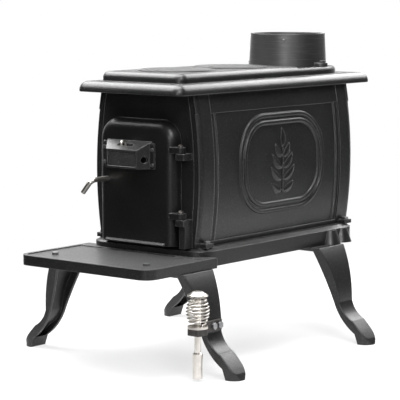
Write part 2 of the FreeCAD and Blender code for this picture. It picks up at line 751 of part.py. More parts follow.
# Hearth shelf, which lies on the arms round the base plate's front, and its bolts
hearth = new_body("hearth_blank", is_node=False)
half_hearth = half_base + d.hearth_lip
hearth_sides = (-half_hearth + d.wall, half_hearth - d.wall)
pad(hearth, rectangle(hearth, "XY_Plane", skirt_level, (-half_hearth, half_hearth),
                      (d.hearth_front, hearth_rear)), d.hearth_height)
pocket(hearth, rectangle(hearth, "XY_Plane", hearth_level,
                         (-half_hearth + d.hearth_edge, half_hearth - d.hearth_edge),
                         (d.hearth_front + d.hearth_edge, d.base_front - d.hearth_edge)), d.hearth_dip)
pocket(hearth, rectangle(hearth, "XY_Plane", skirt_level, hearth_sides,
                         (d.hearth_front + d.wall, hearth_rear - d.wall)), d.arm_thickness, reverse=True)
round_edges(hearth, d.hearth_round - d.wall, upright_at(d.hearth_front + d.wall))
round_edges(hearth, d.hearth_round - d.hearth_edge, upright_at(d.hearth_front + d.hearth_edge))
round_edges(hearth, d.hearth_round, upright_at(d.hearth_front))
for sign in SIDES.values():
    pocket(hearth, circle(hearth, "XY_Plane", hearth_level, sign * d.hearth_bolt_x, d.hearth_bolt_y,
                          hole_radius), d.hearth_height)
base_face = Part.Face(base_plan(-float(d.seam), float(skirt_level)))
base_room = base_face.extrude(Vector(0, 0, float(d.hearth_height)))
node(cut("hearth_shelf", hearth, [feature("base_room", base_room)]), "hearth_shelf")
hearth_bolts = [bolt(f"hearth_bolt_{side}", (sign * d.hearth_bolt_x, d.hearth_bolt_y, skirt_level), "z",
                     d.hearth_height - d.hearth_dip) for side, sign in SIDES.items()]
node(group("hearth_bolts", hearth_bolts), "hearth_bolts")

# Top plate: rolled rim, platform, lid pad, lid wells and flue hole
top = new_body("top_plate")
half_rim = d.rim_width / 2
half_platform = d.platform_width / 2
pad(top, rectangle(top, "XY_Plane", rim_level, (-half_rim, half_rim), (d.rim_front, rim_rear)), d.rim_height)
round_edges(top, d.rim_corner, upright)
round_edges(top, d.rim_roll, at_level(platform_level))
round_edges(top, d.rim_under_roll, at_level(rim_level))
pad(top, rectangle(top, "XY_Plane", platform_level - d.rim_height / 2, (-half_platform, half_platform),
                   (d.platform_front, d.platform_rear)), d.rim_height / 2 + d.platform_rise + d.pad_rise)
round_edges(top, d.platform_corner, upright_at(d.platform_front))
round_edges(top, d.platform_tail, upright_at(d.platform_rear))
round_edges(top, d.platform_roll, at_level(lid_level))
pocket(top, rectangle(top, "XY_Plane", lid_level, (-half_rim, half_rim), (d.pad_rear, rim_rear)), d.pad_rise)
under = d.shell_head - d.pilaster_depth - d.wall
pocket(top, rectangle(top, "XY_Plane", rim_level, (-under, under),
                      (front_inner + 2 * d.wall, shell_rear - 3 * d.wall)),
       d.rim_height + d.platform_rise - d.wall, reverse=True)
lid_radius = d.lid_diameter / 2
lid_rows = {"front": d.lid_front, "rear": d.lid_front + d.lid_spacing}
for y in lid_rows.values():
    pocket(top, circle(top, "XY_Plane", lid_level, 0, y, lid_radius + d.run_gap), d.lid_thickness)
    pocket(top, circle(top, "XY_Plane", lid_level, 0, y, lid_radius - d.lid_ledge + d.run_gap), 3 * d.wall)
throat = d.collar_bore / 2 - d.wall
pocket(top, circle(top, "XY_Plane", lid_level, 0, d.collar_y, throat), d.pad_rise + d.wall)
for sign in SIDES.values():
    pocket(top, circle(top, "XY_Plane", collar_level, sign * d.ear_bolt, d.collar_y, hole_radius),
           d.rim_height + d.platform_rise)

# Cook lids: a rim on the well's ledge and a plug below it
for name, y in lid_rows.items():
    lid = new_body(f"cook_lid_{name}")
    plug = lid_radius - d.lid_ledge
    lid_top = lid_level + d.lid_proud
    lid_seat = lid_level - d.lid_thickness
    revolve(lid, [(0, lid_seat - d.lid_plug), (plug, lid_seat - d.lid_plug), (plug, lid_seat),
                  (lid_radius, lid_seat), (lid_radius, lid_level + d.lid_proud / 2),
                  (lid_radius - 2 * d.lid_proud, lid_top), (0, lid_top)])
    pocket(lid, rectangle(lid, "XY_Plane", lid_top, (-d.wall, d.wall),
                          (-lid_radius + 2 * d.wall, -lid_radius + 4 * d.wall)), d.lid_thickness)
    place(lid, 0, y, 0)

# Flue collar and its bolts
collar = new_body("flue_collar")
pad(collar, rectangle(collar, "XY_Plane", collar_level, (-d.ear_reach, d.ear_reach),
                      (-d.ear_width / 2, d.ear_width / 2)), d.ear_height)
round_edges(collar, d.ear_width / 2 - d.seam, upright)
revolve(collar, [(0, collar_level), (d.collar_foot / 2, collar_level),
                 (d.collar_top / 2, collar_level + d.collar_height), (0, collar_level + d.collar_height)])
pocket(collar, circle(collar, "XY_Plane", collar_level + d.collar_height, 0, 0, d.collar_bore / 2),
       d.collar_height)
for sign in SIDES.values():
    pocket(collar, circle(collar, "XY_Plane", collar_level + d.ear_height, sign * d.ear_bolt, 0, hole_radius),
           d.ear_height)
place(collar, 0, d.collar_y, 0)
ear_bolt_foot = collar_level - d.wall
collar_bolts = [bolt(f"collar_bolt_{side}", (sign * d.ear_bolt, d.collar_y, ear_bolt_foot), "z",
                     d.wall + d.ear_height) for side, sign in SIDES.items()]
node(group("collar_bolts", collar_bolts), "collar_bolts")

# Fire door: pillowed shell, hinge knuckles, air slots and the latch hole
door = new_body("fire_door")
door_left = d.opening_left - d.door_lap_left
door_right = d.opening_right + d.door_lap_right
door_low = opening_low - d.door_lap_sill
door_high = opening_high + d.door_lap_top
trim_low = door_low - 2 * d.door_shoulder
door_hollow = d.door_depth - d.wall - 2 * d.run_gap
hollow_high = door_high - 2 * d.door_seat
inside = (door_left + d.door_seat, door_right - d.door_seat)
pad(door, rectangle(door, "XZ_Plane", -door_back, (door_left, door_right), (trim_low, door_high)),
    d.door_depth)
pocket(door, rectangle(door, "XZ_Plane", -door_back, inside, (door_low + d.door_seat, hollow_high)),
       door_hollow, reverse=True)
round_edges(door, d.door_corner - d.door_seat,
            lambda edge: near(edge.Length, door_hollow) and near(edge.CenterOfMass.z, hollow_high))
round_edges(door, d.door_corner,
            lambda edge: near(edge.Length, d.door_depth) and near(edge.CenterOfMass.z, door_high))
round_edges(door, d.door_shoulder, at_y(door_face))
pocket(door, rectangle(door, "XZ_Plane", -door_face, (door_left - d.wall, door_right + d.wall),
                       (trim_low, door_low)), d.door_depth)
drip_face = door_face - d.door_drip
pad(door, polygon(door, "YZ_Plane", door_left + d.door_shoulder,
                  [(door_face, door_low), (drip_face, door_low), (drip_face, door_low + d.door_drip / 2),
                   (door_face, door_low + 2 * d.door_drip)]), door_right - door_left - 2 * d.door_shoulder)
arm_back = d.pin_y + d.knuckle_radius - d.run_gap
for level in hinge_levels.values():
    door_knuckle = level + d.run_gap
    pad(door, circle(door, "XY_Plane", door_knuckle, d.pin_x, d.pin_y, d.knuckle_radius), d.knuckle_height)
    pad(door, rectangle(door, "XY_Plane", door_knuckle, (door_right - d.door_seat, d.pin_x),
                        (d.pin_y - d.knuckle_radius, arm_back)), d.knuckle_height)
    pocket(door, circle(door, "XY_Plane", door_knuckle + d.knuckle_height, d.pin_x, d.pin_y,
                        d.pin_radius + d.run_gap), d.knuckle_height)
slot_half = d.slide_width / 4
for low in (box_low + 2 * d.box_wall, box_low + 4 * d.box_wall):
    pocket(door, rectangle(door, "XZ_Plane", -door_face, (d.box_x - slot_half, d.box_x + slot_half),
                           (low, low + d.box_wall)), 2 * d.wall)
pocket(door, circle(door, "XZ_Plane", -door_face, d.latch_x, latch_z, d.latch_radius + d.run_gap), 2 * d.wall)


# Air box cover: a hollow wedge with a sloped brow, round air holes and a slot for the hook
def wedge(name, face_half, foot_half, low, face_high, foot_high, face_y, foot_y):
    item = doc.addObject("Part::Wedge", name)
    for path, value in (("Xmin", d.box_x - face_half), ("Xmax", d.box_x + face_half),
                        ("X2min", d.box_x - foot_half), ("X2max", d.box_x + foot_half),
                        ("Zmin", low), ("Zmax", face_high), ("Z2min", low), ("Z2max", foot_high),
                        ("Ymin", face_y), ("Ymax", foot_y)):
        bind(item, path, value)
    return item


face_half = d.box_face / 2
foot_half = d.box_width / 2
box_high = box_low + d.box_height
box_face_y = door_face - d.box_depth
cover_outer = wedge("cover_outer", face_half, foot_half, box_low, box_high - d.box_brow, box_high, box_face_y,
                    door_face)
cover_inner = wedge("cover_inner", face_half - d.box_wall, foot_half - d.box_wall, box_low + d.box_wall,
                    box_high - d.box_brow - d.box_wall, box_high - d.box_wall, box_face_y + d.box_wall,
                    door_face)
cover_flange = box("cover_flange", (d.box_x - foot_half - d.box_flange, d.box_x + foot_half + d.box_flange),
                   (door_face - d.box_wall, door_face), (box_low, box_high - d.box_wall))
slide_front = door_face - d.run_gap - d.slide_thickness
hook_y = slide_front - d.hook_step
guide = box("cover_guide", (d.box_x - foot_half + 2 * d.box_wall, d.box_x + foot_half - 2 * d.box_wall),
            (slide_front - d.run_gap - d.box_wall, slide_front - d.run_gap),
            (box_low + d.box_wall / 2, box_low + 2 * d.box_wall))
side_hole = rod("cover_air_hole", (d.box_x - foot_half - d.box_flange, door_face - d.box_depth / 2,
                                   box_low + d.box_height / 3), "x", d.air_hole,
                d.box_width + 2 * d.box_flange)
hook_room = d.air_travel + d.hook_radius + 2 * d.run_gap
hook_slot = box("cover_slot", (d.box_x - hook_room, d.box_x + hook_room),
                (hook_y - d.hook_radius - d.run_gap, hook_y + d.hook_radius + d.run_gap),
                (box_low + d.box_height / 2, box_high))
screw_x = foot_half + d.box_flange / 2
screw_places = [(sign * screw_x + d.box_x, z) for sign in SIDES.values()
                for z in (box_low + 2 * d.box_wall, box_high - 4 * d.box_wall)]
screw_radius = d.hook_radius
screw_holes = [rod(f"screw_hole_{index}", (x, door_face - d.box_wall, z), "y", screw_radius + d.bolt_fit,
                   d.box_wall) for index, (x, z) in enumerate(screw_places)]
face_field = box("cover_field", (d.box_x - face_half + d.box_wall, d.box_x + face_half - d.box_wall),
                 (box_face_y, box_face_y + d.box_wall / 3),
                 (box_low + d.box_wall, box_high - d.box_brow - d.box_wall))
cover_shell = cut("cover_shell", fuse("cover_solid", [cover_outer, cover_flange]),
                  [cover_inner, side_hole, hook_slot, face_field] + screw_holes)
node(fuse("air_box_cover", [cover_shell, guide]), "air_box_cover")
for x, z in screw_places:
    pocket(door, circle(door, "XZ_Plane", -door_face, x, z, screw_radius + d.bolt_fit), d.wall / 2)
screws = []
for index, (x, z) in enumerate(screw_places):
    shank = rod(f"screw_shank_{index}", (x, door_face - d.box_wall, z), "y", screw_radius,
                d.box_wall + d.wall / 2)
    head = rod(f"screw_head_{index}", (x, door_face - d.box_wall - d.hook_radius, z), "y", 1.6 * screw_radius,
               d.hook_radius)
    screws.append(fuse(f"screw_{index}", [shank, head]))
node(group("air_box_screws", screws), "air_box_screws")

# Air slide that covers the door's slots
slide = new_body("air_slide")
slide_low = box_low + d.box_wall + d.run_gap
pad(slide, rectangle(slide, "XZ_Plane", -door_face + d.run_gap,
                     (d.box_x - d.slide_width / 2, d.box_x + d.slide_width / 2),
                     (slide_low, slide_low + d.slide_height)), d.slide_thickness)


# Bent wires
def bent_wire(points, bend, radius):
    """A round wire along straight runs joined by arcs."""
    edges = []
    start = points[0]
    for before, corner, after in zip(points, points[1:], points[2:]):
        back = (before - corner).normalize()
        ahead = (after - corner).normalize()
        half = back.getAngle(ahead) / 2
        reach = bend / math.tan(half)
        entry = corner + back * reach
        leave = corner + ahead * reach
        middle = corner + (back + ahead).normalize() * (bend / math.sin(half) - bend)
        edges.append(Part.makeLine(start, entry))
        edges.append(Part.Arc(entry, middle, leave).toShape())
        start = leave
    edges.append(Part.makeLine(start, points[-1]))
    section = Part.Wire(Part.makeCircle(radius, points[0], points[1] - points[0]))
    return Part.Wire(edges).makePipeShell([section], True, False)


hook_x = float(d.box_x)
hook_foot = float(slide_low) + float(d.slide_height) * 2 / 3
hook_top = float(slide_low + d.hook_rise + d.box_wall)
hook_route = [Vector(hook_x, float(slide_front), hook_foot),
              Vector(hook_x, float(hook_y), hook_foot),
              Vector(hook_x, float(hook_y), hook_top),
              Vector(hook_x, float(hook_y - d.hook_reach), hook_top),
              Vector(hook_x, float(hook_y - d.hook_reach), hook_top - float(d.hook_drop))]
node(feature("air_hook", bent_wire(hook_route, float(d.hook_bend), float(d.hook_radius))), "air_hook")

# Latch: bent rod through the door, with a cam and a nut behind it
cam_back = front_inner + 2 * d.run_gap + d.cam_thickness
nut_back = cam_back + d.bolt_head_height
latch_bend_y = float(door_face - d.latch_reach)
fall = math.radians(float(d.latch_fall))
latch_route = [Vector(float(d.latch_x), float(nut_back), float(latch_z)),
               Vector(float(d.latch_x), latch_bend_y, float(latch_z)),
               Vector(float(d.latch_x) + float(d.latch_arm) * math.cos(fall), latch_bend_y,
                      float(latch_z) + float(d.latch_arm) * math.sin(fall))]
node(feature("latch_rod", bent_wire(latch_route, float(d.latch_bend), float(d.latch_radius))), "latch_rod")
cam = new_body("latch_cam")
half_cam = d.cam_width / 2
pad(cam, rectangle(cam, "XZ_Plane", -cam_back, (d.latch_x - half_cam, d.latch_x + half_cam),
                   (latch_z - 1.3 * half_cam, latch_z + d.cam_length)), d.cam_thickness)
round_edges(cam, d.cam_width / 4, lambda edge: near(edge.Length, d.cam_thickness))
pocket(cam, circle(cam, "XZ_Plane", -cam_back + d.cam_thickness, d.latch_x, latch_z, d.latch_radius),
       d.cam_thickness)
nut_ring = hexagon("latch_nut_hex", (d.latch_x, cam_back, latch_z), "y", 1.7 * d.latch_radius,
                   d.bolt_head_height)
nut_bore = rod("latch_nut_bore", (d.latch_x, cam_back, latch_z), "y", d.latch_radius, d.bolt_head_height)
node(cut("latch_nut", nut_ring, [nut_bore]), "latch_nut")


# Cabriole leg: where its side, front and plan outlines meet, hollowed from behind
def arc(first, middle, last):
    return Part.Arc(first, middle, last).toShape()


def bulged(first, last, bulge):
    """An arc between two points of the XZ plane, bowed outwards by a bulge."""
    run = last - first
    outwards = Vector(-run.z, 0, run.x).normalize()
    return arc(first, (first + last) / 2 + outwards * bulge, last)


def leg_outline(shift):
    """The leg's outer line in the XZ plane, moved square to the shin, closed along the stove's middle."""
    head = Vector(float(d.leg_head_x), 0, float(d.leg_height))
    ankle = Vector(float(d.ankle_x), 0, float(d.ankle_level))
    moved = Vector(ankle.z - head.z, 0, head.x - ankle.x).normalize() * shift
    head = head + moved
    ankle = ankle + moved
    instep = Vector(float(d.instep_x), 0, float(d.instep_level)) + moved
    toe = Vector(float(d.toe_x - d.toe_lean), 0, float(d.toe_band)) + moved
    tip = Vector(float(d.toe_x), 0, 0) + moved
    low = Vector(0, 0, tip.z)
    high = Vector(0, 0, head.z)
    return [bulged(head, ankle, float(d.shin_bulge)), bulged(ankle, instep, -float(d.ankle_hollow)),
            bulged(instep, toe, float(d.toe_bulge)), Part.makeLine(toe, tip), Part.makeLine(tip, low),
            Part.makeLine(low, high), Part.makeLine(high, head)]


def leg_front_face(inset):
    """The leg's outline seen from outside, in the YZ plane."""
    ankle, high = float(d.ankle_level), float(d.leg_height)
    toe_half = float(d.leg_toe_half) - inset
    ankle_half = float(d.leg_ankle_half) - inset
    head_half = float(d.leg_head_half) - inset
    calf = Vector(0, (ankle_half + head_half) / 2 - float(d.calf_hollow), (ankle + high) / 2)
    right = [Vector(0, toe_half, 0), Vector(0, ankle_half, ankle), calf, Vector(0, head_half, high)]
    left = [Vector(0, -point.y, point.z) for point in right]
    edges = [Part.makeLine(left[0], right[0]), Part.makeLine(right[0], right[1]), arc(*right[1:]),
             Part.makeLine(right[3], left[3]), arc(left[3], left[2], left[1]),
             Part.makeLine(left[1], left[0])]
    return Part.Face(Part.Wire(edges))


def prism(edges, width):
    face = Part.Face(Part.Wire(edges))
    solid = face.extrude(Vector(0, width, 0))
    solid.translate(Vector(0, -width / 2, 0))
    return solid


def is_ridge(edge):
    """Whether an edge runs down the outside of a leg, between its face and a flank."""
    spots = [edge.valueAt(edge.FirstParameter), edge.valueAt(edge.LastParameter)]
    levels = sorted(spot.z for spot in spots)
    outside = min(spot.x for spot in spots) > float(d.leg_head_x - d.leg_flange)
    return outside and levels[0] > float(d.toe_band) / 2 and levels[1] - levels[0] > float(d.toe_band)


def leg():
    width = 3 * float(d.leg_head_half)
    reach = float(d.toe_x)
    high = float(d.leg_height)
    wall = float(d.leg_wall)
    across_leg = Vector(2 * reach, 0, 0)
    outer = prism(leg_outline(0), width).common(leg_front_face(0).extrude(across_leg))
    toe_half = float(d.leg_toe_half)
    plan = Part.makeBox(reach - toe_half, width, high, Vector(0, -width / 2, 0))
    spread = (float(d.leg_ankle_half) - toe_half) * high / float(d.ankle_level)
    plan = plan.fuse(Part.makeCone(toe_half, toe_half + spread, high, Vector(reach - toe_half, 0, 0)))
    head = Vector(float(d.leg_head_x - d.leg_flange), 0, high)
    ankle = Vector(float(d.ankle_x - d.ankle_flange), 0, float(d.ankle_level))
    arch = Vector(float(d.arch_x), 0, float(d.arch_level))
    heel = Vector(float(d.heel_x - d.heel_lean), 0, float(d.heel_rise))
    sole = Vector(float(d.heel_x), 0, 0)
    behind = [Part.makeLine(head, ankle), arc(ankle, arch, heel), Part.makeLine(heel, sole),
              Part.makeLine(sole, Vector()), Part.makeLine(Vector(), Vector(0, 0, high)),
              Part.makeLine(Vector(0, 0, high), head)]
    outer = outer.common(plan)
    ridges = [edge for edge in outer.Edges if is_ridge(edge)]
    outer = outer.makeFillet(float(d.leg_round), ridges).cut(prism(behind, width))
    channel = prism(leg_outline(wall), width).common(leg_front_face(wall).extrude(across_leg))
    channel = channel.cut(Part.makeBox(2 * reach, width, float(d.heel_rise), Vector(0, -width / 2, 0)))
    plate_low = high - float(d.foot_plate)
    plate_x = float(d.leg_head_x - d.foot_plate_reach)
    plate = Part.makeBox(reach, width, float(d.foot_plate), Vector(plate_x, -width / 2, plate_low))
    plate = plate.common(prism(leg_outline(wall / 2), width))
    plate = plate.fuse(Part.makeBox(head.x - plate_x, width, float(d.foot_plate),
                                    Vector(plate_x, -width / 2, plate_low)))
    plate = plate.common(leg_front_face(wall / 2).extrude(across_leg))
    hole = Part.makeCylinder(float(hole_radius), high, Vector(float(d.leg_bolt_x), 0, 0))
    return outer.cut(channel).fuse(plate).cut(hole).removeSplitter()


leg_shape = leg()
bolt_spots = [d.strap_bolt_rear, d.strap_bolt_rear - d.strap_bolt_pitch]
strap_z = d.bracket_level - d.bracket_height / 2 + d.strap_rise / 2
strap_face = d.ankle_x + d.strap_thickness
strap_bolt_foot = d.ankle_x - 2 * d.leg_wall
for end, y in leg_places.items():
    for side, turn in (("right", 0), ("left", 180)):
        label = f"leg_{end}_{side}"
        shape = leg_shape
        if label == "leg_front_right":
            for spot in bolt_spots:
                hole = Part.makeCylinder(float(hole_radius), 2 * float(d.leg_head_x),
                                         Vector(0, float(spot - y), float(strap_z)), Vector(1, 0, 0))
                shape = shape.cut(hole)
        item = node(feature(label, shape), label)
        item.Placement = Placement(Vector(0, float(y), 0), Rotation(Vector(0, 0, 1), turn))
leg_bolts = []
plate_foot = d.leg_height - d.foot_plate
for end, y in leg_places.items():
    for side, sign in SIDES.items():
        spot = (sign * d.leg_bolt_x, y)
        shank = rod(f"leg_shank_{end}_{side}", (*spot, plate_foot), "z", d.bolt_radius,
                    arm_level - plate_foot)
        head = hexagon(f"leg_head_{end}_{side}", (*spot, plate_foot - d.bolt_head_height), "z", d.bolt_head,
                       d.bolt_head_height)
        leg_bolts.append(fuse(f"leg_bolt_{end}_{side}", [shank, head]))
node(group("leg_bolts", leg_bolts), "leg_bolts")


# Handle bracket: a strap shaped to the leg's face and an eye block that carries the handle
def bracket():
    half = float(d.bracket_half)
    low = float(d.bracket_level - d.bracket_height)
    height = float(d.bracket_height)
    x, y = float(d.handle_x), float(d.handle_y)
    rear = float(d.strap_rear)
    strap_front = y - half
    raised_front = y + float(ferrule_radius + d.ferrule_wall)
    strap = Part.makeBox(float(strap_face), rear - strap_front, height, Vector(0, strap_front, low))
    strap = strap.fuse(Part.makeBox(float(strap_face), rear - raised_front, height + float(d.strap_rise),
                                    Vector(0, raised_front, low)))
    seat = prism(leg_outline(-float(d.seam)), 2 * float(d.leg_head_x))
    seat.translate(Vector(0, float(d.leg_front_y), 0))
    strap = strap.cut(seat)
    block = Part.makeBox(2 * half, 2 * half, height, Vector(x - half, y - half, low))
    uprights = [edge for edge in block.Edges if near(edge.Length, height)]
    block = block.makeFillet(half / 3, uprights)
    eye = Part.makeCylinder(float(d.bracket_eye), height, Vector(x, y, low))
    solid = strap.fuse(block).cut(eye)
    for spot in bolt_spots:
        hole = Part.makeCylinder(float(hole_radius), 2 * x,
                                 Vector(0, float(spot), float(strap_z)), Vector(1, 0, 0))
        solid = solid.cut(hole)
    return solid.removeSplitter()


node(feature("handle_bracket", bracket()), "handle_bracket")
bracket_bolts = [bolt(f"bracket_bolt_{index}", (strap_bolt_foot, spot, strap_z), "x",
                      strap_face - strap_bolt_foot, nut=False) for index, spot in enumerate(bolt_spots)]
node(group("bracket_bolts", bracket_bolts), "bracket_bolts")

# Stored handle: rod with a cup, coil grip, cap and socket
rod_low = d.bracket_level - d.rod_drop
core = rod("rod_core", (d.handle_x, d.handle_y, rod_low), "z", d.rod_radius, coil_high - rod_low)
cup_block = rod("cup_block", (d.handle_x, d.handle_y, d.bracket_level), "z", ferrule_radius,
                d.ferrule_floor + d.ferrule_rim)
cup_room = rod("cup_room", (d.handle_x, d.handle_y, coil_low), "z", ferrule_bore, d.ferrule_rim)
node(fuse("handle_rod", [cut("cup", cup_block, [cup_room]), core]), "handle_rod")
cap = new_body("handle_cap")
revolve(cap, [(0, coil_high), (ferrule_bore, coil_high), (ferrule_bore, coil_high - d.ferrule_rim),
              (ferrule_radius, coil_high - d.ferrule_rim), (ferrule_radius, coil_high),
              (ferrule_radius / 2, coil_high + d.cap_crown), (0, coil_high + d.cap_crown)])
place(cap, d.handle_x, d.handle_y, 0)
socket = new_body("handle_socket")
socket_low = rod_low - d.socket_length
revolve(socket, [(0, socket_low + d.socket_depth), (d.latch_radius + d.run_gap, socket_low + d.socket_depth),
                 (d.latch_radius + d.run_gap, socket_low), (d.socket_radius, socket_low),
                 (d.socket_radius, rod_low - d.hook_radius), (d.rod_radius, rod_low), (0, rod_low)])
place(socket, d.handle_x, d.handle_y, 0)


# Coil grip: one unbroken wire, barrel shaped, square to its washer and its cap
def half_arc(start, tangent, end):
    chord = end - start
    along = chord / chord.Length
    bend = tangent.getAngle(chord)
    across = tangent - along * tangent.dot(along)
    across.normalize()
    middle = start + chord / 2 + across * (chord.Length / 2 * math.tan(bend / 2))
    return arc(start, middle, end)


def biarc(start, leaving, end, arriving):
    """Two arcs that join two points with a given direction at each."""
    span = end - start
    both = leaving + arriving
    spread = 2 * (1 - leaving.dot(arriving))
    reach = (-span.dot(both) + math.sqrt(span.dot(both) ** 2 + spread * span.dot(span))) / spread
    joint = (start + leaving * reach + end - arriving * reach) / 2
    return [half_arc(start, leaving, joint), half_arc(end, -arriving, joint)]


def coil_point(turn):
    """A point of the coil and its direction, at a number of turns from the first."""
    turns = float(d.coil_turns)
    swell = float(d.coil_radius) - float(d.coil_end_radius)
    radius = float(d.coil_end_radius) + swell * math.sin(math.pi * turn / turns)
    growth = swell * math.cos(math.pi * turn / turns) * math.pi / turns
    angle = 2 * math.pi * turn
    outward = Vector(math.cos(angle), math.sin(angle), 0)
    sideways = Vector(-math.sin(angle), math.cos(angle), 0)
    rise = Vector(0, 0, float(d.coil_pitch))
    direction = outward * growth + sideways * (2 * math.pi * radius) + rise
    point = outward * radius + Vector(0, 0, float(coil_low + d.coil_lead)) + rise * turn
    return point, direction.normalize()


def level_way(direction):
    return Vector(direction.x, direction.y, 0).normalize()


def coil():
    wire = float(d.coil_wire)
    lead = float(d.coil_lead)
    up = Vector(0, 0, 1)
    stations = [coil_point(index / 4) for index in range(int(4 * float(d.coil_turns)) + 1)]
    first, first_way = stations[0]
    last, last_way = stations[-1]
    foot = first - level_way(first_way) * (lead - wire) - up * lead
    head = last + level_way(last_way) * (lead - wire) + up * lead
    edges = [Part.makeLine(foot, foot + up * wire)]
    edges += biarc(foot + up * wire, up, first, first_way)
    for (start, leaving), (end, arriving) in zip(stations, stations[1:]):
        edges += biarc(start, leaving, end, arriving)
    edges += biarc(last, last_way, head - up * wire, up)
    edges.append(Part.makeLine(head - up * wire, head))
    route = Part.Wire(Part.__sortEdges__(edges))
    section = Part.Wire(Part.makeCircle(wire / 2, foot, up))
    solid = route.makePipeShell([section], True, False)
    print("coil radii from", round(min(radii(route)), 2))
    print("coil's least gap to itself", round(least_gap(route, wire), 2))
    return solid


def radii(route):
    return [edge.Curve.Radius for edge in route.Edges if isinstance(edge.Curve, Part.Circle)]


def least_gap(route, wire):
    """The least distance between stretches of the coil that lie half a turn or more apart."""
    points = route.discretize(Distance=wire / 3)
    apart = int(math.pi * float(d.coil_end_radius) / (wire / 3))
    nearest = min((first - second).Length for index, first in enumerate(points)
                  for second in points[index + apart:])
    return nearest - wire


grip = node(feature("spring_grip", coil()), "spring_grip")
grip.Placement = Placement(Vector(float(d.handle_x), float(d.handle_y), 0), Rotation())

# Fire grate: slotted plate on two feet
grate = new_body("fire_grate")
half_grate = d.grate_width / 2
grate_low = shell_level + d.grate_foot
grate_rear = d.grate_front + d.grate_length
pad(grate, rectangle(grate, "XY_Plane", grate_low, (-half_grate, half_grate), (d.grate_front, grate_rear)),
    d.grate_height)
for start, end in ((d.grate_front, d.grate_front + d.grate_border),
                   (grate_rear - d.grate_border, grate_rear)):
    pad(grate, rectangle(grate, "XY_Plane", shell_level, (-half_grate, half_grate), (start, end)),
        d.grate_foot)
first_slot = d.grate_front + d.grate_border
slot = pocket(grate, rectangle(grate, "XY_Plane", grate_low + d.grate_height,
                               (-half_grate + d.grate_border, half_grate - d.grate_border),
                               (first_slot, first_slot + d.grate_slot)), d.grate_height)
slot_room = float(d.grate_length - 2 * d.grate_border - d.grate_slot)
slots = int(slot_room // float(d.grate_pitch))
pattern = grate.newObject("PartDesign::LinearPattern", "grate_slots")
pattern.Originals = [slot]
pattern.Direction = (slot.Profile[0], ["V_Axis"])
pattern.Length = slots * float(d.grate_pitch)
pattern.Occurrences = slots + 1
grate.Tip = pattern

# Check every object, then write each piece
doc.recompute()
for item in doc.Objects:
    if "Invalid" in item.State or "Error" in item.State:
        raise RuntimeError(f"{item.Name} failed: {item.State}")
os.makedirs("parts", exist_ok=True)
for item in nodes:
    if item.Shape.isNull() or not item.Shape.isValid():
        raise RuntimeError(f"{item.Label} has no valid shape")
for item in nodes:
    item.Shape.exportStep(f"parts/{item.Label}.step")
    print(item.Label, len(item.Shape.Solids), round(item.Shape.Volume / 1000, 1))
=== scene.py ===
import json
import math
import random

import bmesh
import bpy
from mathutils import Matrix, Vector


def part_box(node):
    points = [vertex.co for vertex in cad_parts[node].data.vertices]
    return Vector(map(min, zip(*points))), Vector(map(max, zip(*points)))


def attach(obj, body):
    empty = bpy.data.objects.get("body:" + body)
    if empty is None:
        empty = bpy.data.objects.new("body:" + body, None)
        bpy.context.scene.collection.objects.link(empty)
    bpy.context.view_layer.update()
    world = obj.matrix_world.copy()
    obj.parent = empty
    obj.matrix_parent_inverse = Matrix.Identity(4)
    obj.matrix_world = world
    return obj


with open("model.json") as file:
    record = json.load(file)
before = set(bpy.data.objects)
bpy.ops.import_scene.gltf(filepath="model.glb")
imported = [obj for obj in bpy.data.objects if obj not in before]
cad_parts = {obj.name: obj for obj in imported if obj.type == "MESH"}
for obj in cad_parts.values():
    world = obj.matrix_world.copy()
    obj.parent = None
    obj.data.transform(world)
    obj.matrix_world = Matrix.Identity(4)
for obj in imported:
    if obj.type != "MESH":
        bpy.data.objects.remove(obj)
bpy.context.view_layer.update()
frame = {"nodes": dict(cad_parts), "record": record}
scene = bpy.context.scene
draw = random.Random(7)

BLACK = (0.0, 0.0, 0.0)
WHITE = (1.0, 1.0, 1.0)

# Tones in the stove paint: light grains, and iron where it is rubbed
SPECK = (0.044, 0.044, 0.045)
RUBBED = (0.062, 0.061, 0.060)

# Outer line of a side panel, in metres: its foot and head as (half width, height)
SHELL_FOOT = Vector((0.1245, 0.232))
SHELL_HEAD = Vector((0.1210, 0.531))
BOW_RADIUS = 0.815
FIELD_DROP = 0.004
# Middle of the oval on the panel, as (y, z)
OVAL_CENTRE = Vector((0.073, 0.381))
# How deep the rims of the sprig lie in the panel
SUNK = 0.0006


